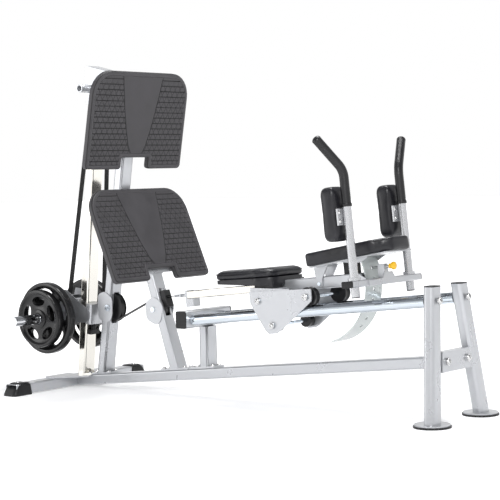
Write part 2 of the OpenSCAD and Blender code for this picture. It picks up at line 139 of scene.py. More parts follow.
def node(t, kind, **values):
    """A shader node with its sockets or settings set by name."""
    n = t.nodes.new(kind)
    for k, v in values.items():
        if k in n.inputs:
            n.inputs[k].default_value = v
        else:
            setattr(n, k, v)
    return n


def spread(t, source, lo, hi, low=0.3, high=0.7):
    """Colour ramp from lo to hi as source goes from low to high."""
    r = t.nodes.new("ShaderNodeValToRGB")
    r.color_ramp.elements[0].position = low
    r.color_ramp.elements[1].position = high
    r.color_ramp.elements[0].color = (*lo, 1)
    r.color_ramp.elements[1].color = (*hi, 1)
    t.links.new(source, r.inputs["Fac"])
    return r.outputs["Color"]


def surface(name, colour, rough, metal, vary, grain, bump, depth, patch=9.0, coat=0.0, spec=0.5,
            kind="noise", wear=0.0, groove_shade=None):
    """A finish: patches of lighter and darker colour and shine, with fine relief.

    grain and patch are the scales of the fine and wide noise, bump and depth the strength
    and height of the relief in metres. wear lightens worn edges. The last option is painted
    shade in grooves: how dark the low parts of a mesh with a relief attribute are painted.
    """
    m, t, b = new_material(name)
    where = node(t, "ShaderNodeTexCoord").outputs["Object"]
    wide = node(t, "ShaderNodeTexNoise", Scale=patch, Detail=4.0, Roughness=0.55)
    t.links.new(where, wide.inputs["Vector"])
    if kind == "cells":
        fine = node(t, "ShaderNodeTexVoronoi", Scale=grain)
        out = fine.outputs["Distance"]
    else:
        fine = node(t, "ShaderNodeTexNoise", Scale=grain, Detail=3.0, Roughness=0.6)
        out = fine.outputs["Fac"]
    t.links.new(where, fine.inputs["Vector"])
    dark = tuple(c * (1 - vary) for c in colour)
    light = tuple(min(1, c * (1 + vary)) for c in colour)
    base = spread(t, wide.outputs["Fac"], dark, light)
    speck = node(t, "ShaderNodeMix", data_type="RGBA", blend_type="MULTIPLY")
    speck.inputs["Factor"].default_value = 0.35
    t.links.new(base, speck.inputs["A"])
    t.links.new(spread(t, out, (1 - vary * 1.5,) * 3, (1, 1, 1)), speck.inputs["B"])
    result = speck.outputs["Result"]
    if wear:
        edge = node(t, "ShaderNodeNewGeometry")
        worn = node(t, "ShaderNodeMix", data_type="RGBA")
        t.links.new(spread(t, edge.outputs["Pointiness"], (0, 0, 0), (wear,) * 3, 0.51, 0.58),
                    worn.inputs["Factor"])
        t.links.new(result, worn.inputs["A"])
        worn.inputs["B"].default_value = (*(min(1, c * 1.6 + 0.03) for c in colour), 1)
        result = worn.outputs["Result"]
    # painted shade: the low parts of a mesh with a relief attribute (the tread's grooves) are painted darker
    if groove_shade is not None:
        low = node(t, "ShaderNodeAttribute", attribute_name="relief")
        cut = node(t, "ShaderNodeMix", data_type="RGBA")
        t.links.new(spread(t, low.outputs["Fac"], (0, 0, 0), (1, 1, 1), 0.25, 0.85),
                    cut.inputs["Factor"])
        cut.inputs["A"].default_value = (*(c * groove_shade for c in colour), 1)
        t.links.new(result, cut.inputs["B"])
        result = cut.outputs["Result"]
    t.links.new(result, b.inputs["Base Color"])
    dull = spread(t, wide.outputs["Fac"], (max(0.02, rough * 0.82),) * 3,
                  (min(1, rough * 1.2),) * 3)
    t.links.new(dull, b.inputs["Roughness"])
    b.inputs["Metallic"].default_value = metal
    b.inputs["Specular IOR Level"].default_value = spec
    b.inputs["Coat Weight"].default_value = coat
    b.inputs["Coat Roughness"].default_value = 0.12
    relief = node(t, "ShaderNodeBump", Strength=bump, Distance=depth)
    t.links.new(out, relief.inputs["Height"])
    t.links.new(relief.outputs["Normal"], b.inputs["Normal"])
    return m


# name: colour, roughness, metal, variation, grain, bump strength and depth, then the options
M = {
    "silver_paint": surface("silver_paint", (0.47, 0.48, 0.50), 0.30, 0.6, 0.03, 950, 0.008,
                            0.0002, patch=5, coat=0.3),
    "post_chrome": surface("post_chrome", (0.72, 0.70, 0.65), 0.12, 1.0, 0.02, 400, 0.02,
                           0.0002, patch=2),
    "rail_chrome": surface("rail_chrome", (0.60, 0.65, 0.70), 0.09, 1.0, 0.03, 400, 0.03, 0.0002,
                           patch=3),
    "bolt_steel": surface("bolt_steel", (0.62, 0.62, 0.62), 0.2, 1.0, 0.08, 400, 0.08, 0.0002),
    "sleeve_chrome": surface("sleeve_chrome", (0.66, 0.67, 0.69), 0.1, 1.0, 0.05, 400, 0.04,
                             0.0002),
    "handle_silver": surface("handle_silver", (0.52, 0.525, 0.54), 0.22, 0.75, 0.02, 900, 0.02,
                             0.0003, patch=4, coat=0.3),
    "strap_steel": surface("strap_steel", (0.50, 0.535, 0.53), 0.32, 0.35, 0.03, 500, 0.03, 0.0003,
                           coat=0.2),
    "vinyl": surface("vinyl", (0.0115, 0.0115, 0.0145), 0.36, 0.0, 0.2, 620, 0.16, 0.0004,
                     patch=14, coat=0.05, spec=0.35, kind="cells"),
    "foot_rubber": surface("foot_rubber", (0.010, 0.010, 0.011), 0.45, 0.0, 0.25, 420, 0.25,
                           0.0005, spec=0.3, wear=0.25),
    # the tread gets painted shade in its grooves: their low parts at 0.12 times its colour
    "tread_rubber": surface("tread_rubber", (0.044, 0.042, 0.046), 0.5, 0.0, 0.16, 520, 0.2,
                            0.0005, patch=11, spec=0.35, wear=0.3, groove_shade=0.12),
    "grip_rubber": surface("grip_rubber", (0.012, 0.012, 0.013), 0.36, 0.0, 0.2, 700, 0.25,
                           0.0005, spec=0.35, kind="cells"),
    "plate_rubber": surface("plate_rubber", (0.008, 0.0078, 0.0085), 0.22, 0.0, 0.2, 380, 0.12,
                            0.0005, spec=0.4, wear=0.2),
    "dark_plate": surface("dark_plate", (0.27, 0.275, 0.29), 0.32, 0.65, 0.08, 700, 0.12,
                          0.0004),
    "belt_black": surface("belt_black", (0.012, 0.012, 0.013), 0.55, 0.0, 0.2, 900, 0.3, 0.0005,
                          spec=0.3),
    "pulley_nylon": surface("pulley_nylon", (0.009, 0.009, 0.010), 0.3, 0.0, 0.2, 300, 0.1,
                            0.0004, spec=0.35),
    "roller_urethane": surface("roller_urethane", (0.010, 0.010, 0.011), 0.32, 0.0, 0.2, 260,
                               0.1, 0.0004, spec=0.35),
    "knob_yellow": surface("knob_yellow", (0.80, 0.46, 0.01), 0.28, 0.0, 0.06, 300, 0.08, 0.0003,
                           coat=0.2),
    "knob_black": surface("knob_black", (0.008, 0.008, 0.009), 0.3, 0.0, 0.2, 300, 0.1, 0.0003,
                          spec=0.35),
}
SLOT_OF = {s["node"]: s["material_slot"] for s in frame["record"]["subparts"]}
for name, obj in nodes.items():
    obj.data.materials.clear()
    obj.data.materials.append(M[SLOT_OF[name]])


WELD = 0.00002       # points of a CAD mesh closer than this are one, metres


def soften(name, width, angle=35):
    """Rounds a CAD node's sharp edges."""
    obj = nodes[name]
    w = obj.modifiers.new("weld", "WELD")
    w.merge_threshold = WELD
    b = obj.modifiers.new("edge", "BEVEL")
    b.width = width
    b.segments = 2
    b.limit_method = "ANGLE"
    b.angle_limit = math.radians(angle)
    b.use_clamp_overlap = True
    b.harden_normals = True


# ---- meshes --------------------------------------------------------------------
def build(name, verts, faces, slot, body, axes=None, sharp=38, stands_for=()):
    """One piece from vertices in metres, in the given axes or the row frame."""
    if axes is not None:
        verts = [axes.at(*v) for v in verts]
    me = bpy.data.meshes.new(name)
    me.from_pydata([tuple(v) for v in verts], [], faces)
    bm = bmesh.new()
    bm.from_mesh(me)
    bmesh.ops.remove_doubles(bm, verts=bm.verts, dist=1e-6)
    bmesh.ops.triangulate(bm, faces=[f for f in bm.faces if len(f.verts) > 4])
    bmesh.ops.recalc_face_normals(bm, faces=bm.faces)
    bm.to_mesh(me)
    bm.free()
    me.shade_smooth()
    me.set_sharp_from_angle(angle=math.radians(sharp))
    obj = bpy.data.objects.new(name, me)
    bpy.context.scene.collection.objects.link(obj)
    if body:
        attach(obj, body)
    if slot:
        me.materials.append(M[slot])
    if stands_for:
        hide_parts(*stands_for)
    return obj


def join_parts(*parts):
    """Several (vertices, faces) pairs as one."""
    verts, faces = [], []
    for v, f in parts:
        faces += [tuple(i + len(verts) for i in face) for face in f]
        verts += list(v)
    return verts, faces


def loft(rings, closed=False, caps=True):
    """Skin over rings of equal length; closed joins the last ring to the first."""
    n = len(rings[0])
    verts = [p for r in rings for p in r]
    faces = []
    last = len(rings) if closed else len(rings) - 1
    for i in range(last):
        a, b = i * n, ((i + 1) % len(rings)) * n
        faces += [(a + k, a + (k + 1) % n, b + (k + 1) % n, b + k) for k in range(n)]
    if caps and not closed:
        faces += [tuple(range(n))[::-1], tuple(range((len(rings) - 1) * n, len(rings) * n))]
    return verts, faces


def turned(profile, place, n=64, closed=False):
    """Revolves (radius, distance) pairs; place maps (distance, u, v) to a point."""
    rings = []
    for r, d in profile:
        ring = []
        for k in range(n):
            a = 2 * math.pi * k / n
            ring.append(place(d, r * math.cos(a), r * math.sin(a)))
        rings.append(ring)
    return loft(rings, closed=closed)


def along(origin, axis):
    """A place function for turned: distance runs along axis from origin."""
    w = Vector(axis).normalized()
    u = w.cross(ACROSS) if abs(w.y) < 0.9 else w.cross(UP)
    u.normalize()
    v = w.cross(u)
    o = Vector(origin)
    return lambda d, a, b: o + w * d + u * a + v * b


def swept(path, section, closed=False):
    """Carries a section of (u, v) pairs along a path of points."""
    path = [Vector(p) for p in path]
    n = len(path)
    rings = []
    normal = None
    for i, p in enumerate(path):
        before = path[(i - 1) % n] if closed or i else p
        after = path[(i + 1) % n] if closed or i < n - 1 else p
        w = (after - before).normalized()
        if normal is None:
            normal = w.orthogonal() if abs(w.z) > 0.9 else w.cross(UP)
        normal = (normal - w * normal.dot(w)).normalized()
        side = w.cross(normal)
        cut = section(i / (n - 1)) if callable(section) else section
        rings.append([p + normal * u + side * v for u, v in cut])
    return loft(rings, closed=closed)


def circle(r, n=10):
    """Points round a circle."""
    return [(r * math.cos(2 * math.pi * k / n), r * math.sin(2 * math.pi * k / n))
            for k in range(n)]


def rounded(points, radii, seg=8):
    """Outline of (x, y) points with an arc at every corner."""
    out = []
    n = len(points)
    for i, (p, r) in enumerate(zip(points, radii)):
        p = Vector(p)
        a = (Vector(points[i - 1]) - p).normalized()
        b = (Vector(points[(i + 1) % n]) - p).normalized()
        half = a.angle(b) / 2
        cut = r / math.tan(half)
        mid = p + (a + b).normalized() * (r / math.sin(half))
        s = p + a * cut - mid
        e = p + b * cut - mid
        turn = math.atan2(s.x * e.y - s.y * e.x, s.dot(e))
        for k in range(seg + 1):
            t = turn * k / seg
            c, d = math.cos(t), math.sin(t)
            out.append((mid.x + s.x * c - s.y * d, mid.y + s.x * d + s.y * c))
    return out


def inset(outline, d):
    """Moves a smooth counter-clockwise outline inwards by d along its normals."""
    p = np.array(outline)
    t = np.roll(p, -1, 0) - np.roll(p, 1, 0)
    t /= np.linalg.norm(t, axis=1)[:, None]
    return [tuple(q) for q in p + np.stack([-t[:, 1], t[:, 0]], 1) * d]


def smooth_step(x):
    """0 below 0, 1 above 1 and an even curve between."""
    x = min(1.0, max(0.0, x))
    return x * x * (3 - 2 * x)


def table_value(pairs, x):
    """Value at x on the line through (x, value) pairs."""
    return float(np.interp(x, [p[0] for p in pairs], [p[1] for p in pairs]))


# ---- the main axes ---------------------------------------------------------------
# rails: along the guide rails, with the back's hinge at (HINGE_X, 0, HINGE_Z)
HINGE_X, HINGE_Z = 0.440, 0.112
POST_X, POST_Y = 0.746, 0.209     # axis of a shoulder post on the carriage
SIDES = (("right", -1), ("left", 1))
press = Vector(joint("press_slide")["axis"])
rails = Axes((0, 0, 0), x=press)
rails.o = Vector(joint("back_recline")["pos_m"]) - rails.x * HINGE_X - rails.z * HINGE_Z
lift = Vector(joint("weight_lift")["axis"])


# ---- foot plates -----------------------------------------------------------------
def tread_outline(w, h, d):
    """Outline of a foot plate moved inwards by d, with the notch in its lower edge."""
    big, low, notch, rise = 0.118, 0.022, 0.093 + d, 0.056 + d
    x, top = w / 2 - d, h - d
    pts = [(notch, d), (x, d), (x, top), (-x, top), (-x, d), (-notch, d), (-notch, rise),
           (notch, rise)]
    keep = 0.002
    radii = [max(keep, 0.016 - d * 0.5), max(keep, low - d), big - d, big - d,
             max(keep, low - d), max(keep, 0.016 - d * 0.5), 0.008 + d * 0.4, 0.008 + d * 0.4]
    return rounded(pts, radii, 8)


# half width of the smooth shield at a part of the plate's height
SHIELD = [(0.0, 0.0), (0.10, 0.016), (0.17, 0.040), (0.24, 0.060), (0.4, 0.084), (0.6, 0.107),
          (0.8, 0.126), (1.0, 0.143)]


RIB_PITCH, HATCH_PITCH, HATCH_SLOPE = 0.0262, 0.036, 0.6
RIB_HIGH, HATCH_DEEP, SHIELD_GROOVE = 0.0030, 0.0017, 0.0028


def tread_height(y, z, h):
    """Relief of the tread above its floor, in metres: ribs, slanted cuts and the shield."""
    u = z / h
    edge = table_value(SHIELD, u) - abs(y)
    phase = (z / RIB_PITCH + 0.5) % 1.0
    rib = smooth_step((min(phase, 1 - phase) - 0.06) / 0.04)
    a = ((y + HATCH_SLOPE * z) / HATCH_PITCH) % 1.0
    b = ((y - HATCH_SLOPE * z) / HATCH_PITCH) % 1.0
    hatch = smooth_step((0.085 - min(a, 1 - a, b, 1 - b)) / 0.04)
    sides = smooth_step((0.97 - u) / 0.15)
    out = rib * (RIB_HIGH - HATCH_DEEP * hatch * sides)
    flat = smooth_step(edge / 0.003)
    out = out * (1 - flat) + RIB_HIGH * flat
    out -= SHIELD_GROOVE * smooth_step(1 - abs(edge) / 0.0045)
    return max(0.0002, out)


def foot_plate(name, node_name):
    """A rubber foot plate: a rounded rim with a gridded tread set into it."""
    ax = Axes(centre(node_name), x=facing(node_name, (1, 0, 0)))
    (x0, x1), (y0, y1), (z0, z1) = ax.span(node_name)
    w, h, t = y1 - y0, z1 - z0, x1 - x0
    ax = ax.moved(x0, (y0 + y1) / 2, z0)
    profile = [(0.022, 0), (0.004, 0), (0.001, 0.0015), (0, 0.004), (0, t - 0.0075),
               (0.0012, t - 0.0042), (0.0038, t - 0.0018), (0.0075, t - 0.0008),
               (0.0120, t), (0.0190, t), (0.0205, t - 0.0008), (0.0215, t - 0.0042),
               (0.023, t - 0.008)]
    rim = loft([[(x, y, z) for y, z in tread_outline(w, h, d)] for d, x in profile])
    step, margin = 0.0024, 0.018
    ys = np.arange(-w / 2 + margin, w / 2 - margin + 0.0001, step)
    zs = np.arange(margin, h - margin + 0.0001, step)
    fence = np.array(tread_outline(w, h, 0.0205))
    inside = np.zeros((len(ys), len(zs)), bool)
    gy, gz = np.meshgrid(ys, zs, indexing="ij")
    k = len(fence)
    for i in range(k):
        (ya, za), (yb, zb) = fence[i], fence[(i + 1) % k]
        if za == zb:
            continue
        cross = ((za > gz) != (zb > gz)) & (gy < (yb - ya) * (gz - za) / (zb - za) + ya)
        inside ^= cross
    verts, faces, number = [], [], {}
    underside, floor_x = t - 0.007, t - 0.0040

    def corner(i, j, level):
        key = (i, j, level)
        if key not in number:
            number[key] = len(verts)
            x = floor_x + tread_height(ys[i], zs[j], h) if level else underside
            verts.append((x, ys[i], zs[j]))
        return number[key]

    cells = inside[:-1, :-1] & inside[1:, :-1] & inside[:-1, 1:] & inside[1:, 1:]
    for i, j in zip(*np.nonzero(cells)):
        i, j = int(i), int(j)
        ring = [(i, j), (i + 1, j), (i + 1, j + 1), (i, j + 1)]
        faces.append(tuple(corner(a, b, 1) for a, b in ring))
        faces.append(tuple(corner(a, b, 0) for a, b in ring[::-1]))
        for (a, b), (c, d), (di, dj) in zip(ring, ring[1:] + ring[:1],
                                            ((0, -1), (1, 0), (0, 1), (-1, 0))):
            ii, jj = i + di, j + dj
            if not (0 <= ii < cells.shape[0] and 0 <= jj < cells.shape[1] and cells[ii, jj]):
                faces.append((corner(a, b, 0), corner(c, d, 0), corner(c, d, 1), corner(a, b, 1)))
    v, f = join_parts(rim, (verts, faces))
    obj = build(name, v, f, "tread_rubber", "frame", ax, sharp=50, stands_for=(node_name,))
    # per point: 0 on the tread's floor up to 1 on rib tops, rim and underside; the material paints shade where it
    # is low
    depth = [((p.co - ax.o).dot(ax.x) - t + 0.0042) / 0.0034 for p in obj.data.vertices]
    side = [(p.co - ax.o).dot(ax.x) < t - 0.006 for p in obj.data.vertices]
    relief = obj.data.attributes.new("relief", "FLOAT", "POINT")
    relief.data.foreach_set("value", [1.0 if e else min(1.0, max(0.0, d))
                                      for d, e in zip(depth, side)])


foot_plate("upper_tread", "upper_foot_plate")
foot_plate("lower_tread", "lower_foot_plate")


# ---- cushions ----------------------------------------------------------------------
def inflate(obj, voxel, pressure, cap, steps=20):
    """Swells a closed mesh by cloth simulation and caps how far each point goes."""
    bpy.context.view_layer.objects.active = obj
    r = obj.modifiers.new("remesh", "REMESH")
    r.mode = "VOXEL"
    r.voxel_size = voxel
    r.use_smooth_shade = True
    bpy.ops.object.modifier_apply(modifier=r.name)
    start = np.array([v.co for v in obj.data.vertices])
    c = obj.modifiers.new("cloth", "CLOTH")
    s = c.settings
    s.use_pressure = True
    s.uniform_pressure_force = pressure
    s.effector_weights.gravity = 0
    s.quality = 5
    s.mass = 0.3
    s.tension_stiffness = 40
    s.compression_stiffness = 40
    s.bending_stiffness = 12
    for f in range(1, steps + 1):
        bpy.context.scene.frame_set(f)
    view = obj.evaluated_get(bpy.context.evaluated_depsgraph_get())
    end = np.array([v.co for v in view.data.vertices])
    obj.modifiers.remove(c)
    bpy.context.scene.frame_set(1)
    move = end - start
    size = np.linalg.norm(move, axis=1)
    move *= (np.minimum(size, cap) / np.maximum(size, 1e-9))[:, None]
    start = start + move
    return start


def set_points(obj, co):
    """Moves a mesh's points to co and evens them out."""
    obj.data.vertices.foreach_set("co", np.asarray(co, np.float32).ravel())
    obj.data.update()
    bpy.context.view_layer.objects.active = obj
    m = obj.modifiers.new("even", "SMOOTH")
    m.factor = 0.5
    m.iterations = 12
    bpy.ops.object.modifier_apply(modifier=m.name)


def finish_pad(obj, body, stands_for):
    """Refines a cushion and declares what it rides on and stands for."""
    bpy.context.view_layer.objects.active = obj
    s = obj.modifiers.new("smooth", "SUBSURF")
    s.levels = s.render_levels = 1
    bpy.ops.object.modifier_apply(modifier=s.name)
    obj.data.shade_smooth()
    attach(obj, body)
    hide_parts(stands_for)


# (inset, part of the height) pairs from the bottom of a pad to its top
CRISP_EDGE = ((0.007, 0.0), (0.0015, 0.03), (0, 0.10), (0, 0.5), (0, 0.88), (0.002, 0.96),
              (0.008, 1.0))


def pad_start(name, outline, low, high, edges, ax, shrink):
    """A rounded slab a little smaller than the pad, in the row frame."""
    rings = []
    for d, k in edges:
        rings.append([(x, y, low + (high - low) * k) for x, y in inset(outline, shrink + d)])
    v, f = loft(rings)
    return build(name, v, f, "vinyl", None, ax)


# seat: a tapered cushion on a thin covered board
seat_up = facing("seat_pad", (0, 0, 1))
seat_ax = Axes(centre("seat_pad"), z=seat_up)
(sx0, sx1), (sy0, sy1), (sz0, sz1) = seat_ax.span("seat_pad")
seat_ax = seat_ax.moved(sx0, 0, sz0)
seat_l, seat_h = sx1 - sx0, sz1 - sz0


def grown(points, r, seg=10):
    """Outline at distance r around a counter-clockwise convex polygon."""
    out = []
    n = len(points)
    for i, p in enumerate(points):
        before, after = points[i - 1], points[(i + 1) % n]
        a = math.atan2(p[1] - before[1], p[0] - before[0]) - math.pi / 2
        b = math.atan2(after[1] - p[1], after[0] - p[0]) - math.pi / 2
        turn = (b - a) % (2 * math.pi)
        for k in range(seg + 1):
            t = a + turn * k / seg
            out.append((p[0] + r * math.cos(t), p[1] + r * math.sin(t)))
    return out


def seat_outline():
    """Outline of the seat: a narrow round nose and a wide end."""
    pts = grown([(0.058, -0.014), (0.316, -0.092), (0.343, -0.080), (0.343, 0.080),
                 (0.316, 0.092), (0.058, 0.014)], 0.058)
    return [(x * seat_l / 0.401, y * (sy1 - sy0) / 0.30) for x, y in pts]


DIMPLE_X = 0.235     # the button's place along the seat
SEAT_EDGE = ((0.007, 0.0), (0.001, 0.05), (0.0, 0.16), (0.0, 0.48), (0.003, 0.62),
             (0.009, 0.78), (0.022, 0.91), (0.040, 1.0))
seat = pad_start("seat_cushion", seat_outline(), 0.001, seat_h - 0.004, SEAT_EDGE, seat_ax,
                 0.001)
co = inflate(seat, 0.004, 4.0, 0.004)
seat_turn = np.array([seat_ax.x, seat_ax.y, seat_ax.z])
local = (co - np.array(seat_ax.o)) @ seat_turn.T
top = np.clip((local[:, 2] - seat_h * 0.45) / (seat_h * 0.4), 0, 1)
dip = np.exp(-(((local[:, 0] - DIMPLE_X) / 0.030) ** 2 + (local[:, 1] / 0.030) ** 2))
dish = np.exp(-(((local[:, 0] - 0.22) / 0.13) ** 2 + (local[:, 1] / 0.075) ** 2))
local[:, 2] -= top * (0.010 * dip + 0.005 * dish)
set_points(seat, np.array(seat_ax.o) + local @ seat_turn)
finish_pad(seat, "carriage", "seat_pad")


seam = [seat_ax.at(x, y, seat_h * 0.60) for x, y in inset(seat_outline(), 0.0015)]
v, f = swept(seam, circle(0.0024), closed=True)
build("seat_piping", v, f, "vinyl", "carriage")
button = along(seat_ax.at(DIMPLE_X, 0, seat_h - 0.0165), seat_ax.z)
v, f = turned([(0.0, -0.004), (0.010, -0.004), (0.013, 0.0), (0.012, 0.003), (0.007, 0.005),
               (0.0, 0.0055)], button, 32)
build("seat_button", v, f, "vinyl", "carriage")

# back: a coffin-shaped pad on a steel board
back_up = facing("back_pad", (0, 0, 1))
back_ax = Axes(centre("back_pad"), z=back_up)
(bx0, bx1), (by0, by1), (bz0, bz1) = back_ax.span("back_pad")
back_ax = back_ax.moved(bx0, 0, bz0)
back_l, back_w, back_h = bx1 - bx0, by1 - by0, bz1 - bz0


def back_outline():
    """Outline of the back pad: straight sides with its upper corners cut."""
    w, e = back_w / 2, back_l
    pts = [(0, -w), (e - 0.072, -w), (e, -0.064), (e, 0.064), (e - 0.072, w), (0, w)]
    return rounded(pts, [0.020, 0.026, 0.022, 0.022, 0.026, 0.020], 8)


back = pad_start("back_cushion", back_outline(), 0.001, back_h - 0.004, CRISP_EDGE, back_ax,
                 0.002)
set_points(back, inflate(back, 0.004, 4.0, 0.0015))
finish_pad(back, "back", "back_pad")

# shoulder pads
SHOULDER_EDGE = ((0.024, 0.0), (0.012, 0.018), (0.004, 0.06), (0, 0.13), (0, 0.5), (0, 0.87),
                 (0.004, 0.94), (0.012, 0.982), (0.024, 1.0))
for side, sign in SIDES:
    n = "shoulder_pad_" + side
    (px0, px1), (py0, py1), (pz0, pz1) = rails.span(n)
    mid = rails.moved((px0 + px1) / 2, (py0 + py1) / 2, pz0)
    a, b, tall = (px1 - px0) / 2, (py1 - py0) / 2, pz1 - pz0
    outline = rounded([(-a, -b), (a, -b), (a, b), (-a, b)], [0.034, 0.018, 0.018, 0.034], 8)
    pad = pad_start("shoulder_cushion_" + side, outline, 0.002, tall - 0.002, SHOULDER_EDGE,
                    mid, 0.003)
    set_points(pad, inflate(pad, 0.0045, 4.0, 0.0025))
    finish_pad(pad, "shoulder_" + side, n)

# ---- shoulder handles with a smooth bend ---------------------------------------------
GRIP_R, GRIP_FOOT, GRIP_BEND, BEND_R, GRIP_REACH = 0.0205, 0.426, 0.579, 0.085, 0.190
GRIP_TILT, GRIP_TURN = math.radians(41.6), math.radians(110.5)
RIDGE_PITCH, CUFF, DOME = 0.008, 0.012, 0.014
for side, sign in SIDES:
    low, bend, tilt, turn, reach = GRIP_FOOT, GRIP_BEND, GRIP_TILT, GRIP_TURN, GRIP_REACH
    out = Vector((math.sin(tilt) * math.cos(turn), sign * math.sin(tilt) * math.sin(turn),
                  math.cos(tilt)))
    cut = BEND_R * math.tan(tilt / 2)
    path = [Vector((0, 0, low + (bend - cut - low) * k / 8)) for k in range(9)]
    start = Vector((0, 0, bend - cut))
    end = Vector((0, 0, bend)) + out * cut
    side_way = (out - UP * out.dot(UP)).normalized()
    for k in range(1, 13):
        a = tilt * k / 12
        path.append(start + side_way * BEND_R * (1 - math.cos(a)) + UP * BEND_R * math.sin(a))
    path += [end + out * (reach - cut) * k / 10 for k in range(1, 11)]
    here = rails.moved(POST_X, sign * POST_Y, 0)
    line = [here.at(*p) for p in path]
    gone = [0.0]
    for p, q in zip(line, line[1:]):
        gone.append(gone[-1] + (q - p).length)
    total = gone[-1]
    count = 150
    even = []
    for k in range(count + 1):
        s = total * k / count
        i = min(len(gone) - 2, next(j for j in range(len(gone)) if gone[j + 1] >= s - 1e-9))
        t = (s - gone[i]) / (gone[i + 1] - gone[i])
        even.append(line[i].lerp(line[i + 1], t))

    def girth(t, total=total):
        """Section of the grip: a thick cuff, fine ridges and a domed end."""
        s = t * total
        rr = GRIP_R - 0.0006 + 0.0003 * math.cos(2 * math.pi * s / RIDGE_PITCH)
        if s < CUFF:
            rr = GRIP_R + 0.002
        if total - s < DOME:
            rr = math.sqrt(max(0.0, 1 - ((s - total + DOME) / 0.0142) ** 2)) * GRIP_R
        return circle(max(rr, 0.0015), 28)

    v, f = swept(even, girth)
    build("handle_grip_" + side, v, f, "grip_rubber", "shoulder_" + side, sharp=60,
          stands_for=("shoulder_grip_" + side,))

# ---- weight plates ----------------------------------------------------------------------
sleeve = centre("loading_sleeves")
HOLES, HOLE_TURN = 5, math.radians(20)
SMALL_TO_LARGE = 142 / 177


def disc(name, r, y0, y1, body, sign, out):
    """A grip plate of radius r from y0 to y1 off the middle, its holes at out times r."""
    hub = 0.0254
    t = (y1 - y0) / 2
    half = [(hub, t - 0.004), (hub + 0.003, t - 0.001), (hub + 0.016, t - 0.001),
            (hub + 0.022, t - 0.004), (r * 0.33, t - 0.0105), (r * 0.36, t - 0.012),
            (r * 0.62, t - 0.013), (r * 0.82, t - 0.0115), (r * 0.86, t - 0.008),
            (r * 0.885, t - 0.002), (r * 0.91, t), (r - 0.008, t), (r - 0.0025, t - 0.002),
            (r - 0.0005, t - 0.006), (r, t - 0.010)]
    profile = [(a, -d) for a, d in half] + half[::-1]
    c = Vector((sleeve.x, sign * (y0 + y1) / 2, sleeve.z))
    v, f = turned(profile, along(c, (0, sign, 0)), 96, closed=True)
    obj = build(name, v, f, "plate_rubber", None, sharp=32)
    holes = []
    for k in range(HOLES):
        a0 = math.radians(72 * k) + HOLE_TURN
        ring = []
        for q in range(40):
            g = 2 * math.pi * q / 40
            u, v = 0.30 * math.cos(g), 0.165 * math.sin(g)
            ring.append((a0 + math.atan2(u, out + v), r * math.hypot(u, out + v)))
        loops = []
        for y in (-t - 0.01, t + 0.01):
            loops.append([(c.x + rr * math.cos(a), c.y + y, c.z + rr * math.sin(a))
                          for a, rr in ring])
        holes.append(loft(loops))
    hv, hf = join_parts(*holes)
    cutter = build(name + "_cut", hv, hf, "plate_rubber", None)
    b = obj.modifiers.new("holes", "BOOLEAN")
    b.object = cutter
    b.operation = "DIFFERENCE"
    b.solver = "EXACT"
    bpy.context.view_layer.objects.active = obj
    bpy.ops.object.modifier_apply(modifier=b.name)
    bpy.data.objects.remove(cutter)
    w = obj.modifiers.new("edge", "BEVEL")
    w.width = 0.0035
    w.segments = 3
    w.limit_method = "ANGLE"
    w.angle_limit = math.radians(60)
    obj.data.shade_smooth()
    obj.data.set_sharp_from_angle(angle=math.radians(32))
    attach(obj, body)
    return obj


for side, sign in (("left", -1), ("right", 1)):
    n = "weights_" + side
    lo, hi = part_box(n)
    inner = min(abs(lo.y), abs(hi.y))
    outer = max(abs(lo.y), abs(hi.y))
    thick = (outer - inner - 0.0003) / 2
    r_big = (hi.z - lo.z) / 2
    big_plate = disc("plate_large_" + side, r_big, inner, inner + thick, n, sign, 0.67)
    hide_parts(n)
    disc("plate_small_" + side, r_big * SMALL_TO_LARGE, outer - thick, outer, n, sign, 0.61)


# ---- belts -------------------------------------------------------------------------------
def flat_run(name, node_name, start, end):
    """A straight belt run from start to end, in the row frame."""
    lo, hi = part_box(node_name)
    a, b = Vector(start), Vector(end)
    w = (b - a).normalized()
    n = w.cross(ACROSS)
    half, thick = (hi.y - lo.y) / 2, 0.0015
    rings = []
    count = 80
    for k in range(count + 1):
        p = a.lerp(b, k / count)
        cut = [(-half, -thick), (-half + 0.003, -thick - 0.0003), (half - 0.003, -thick - 0.0003),
               (half, -thick), (half, thick), (half - 0.003, thick + 0.0003),
               (-half + 0.003, thick + 0.0003), (-half, thick)]
        rings.append([p + ACROSS * u + n * q for u, q in cut])
    v, f = loft(rings)
    obj = build(name, v, f, "belt_black", None, sharp=60, stands_for=(node_name,))
    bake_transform(obj)


def ends_of(node_name, way):
    """The two end points of a straight belt run, along way."""
    co = [v.co.copy() for v in nodes[node_name].data.vertices]
    d = [p.dot(way) for p in co]
    lo, hi = min(d), max(d)
    a = [p for p, q in zip(co, d) if q < lo + 0.004]
    b = [p for p, q in zip(co, d) if q > hi - 0.004]
    return sum(a, Vector()) / len(a), sum(b, Vector()) / len(b)


a, b = ends_of("belt_front_run", press)
flat_run("belt_front", "belt_front_run", a, b)
a, b = ends_of("belt_rear_run", -lift)
flat_run("belt_rear", "belt_rear_run", a, b)

# ---- frame details ---------------------------------------------------------------------------
for name in ("rear_cross_tube", "tower_upright", "tower_head", "rail_support_post",
             "rail_cross_tube", "a_frame_crossmember", "frame_end_caps", "weight_slider",
             "weight_side_plates", "stop_bumpers", "start_block", "carriage_crossbar",
             "pin_housing", "back_rest_bumper", "back_frame", "seat_base", "belt_clamp"):
    soften(name, 0.0012)


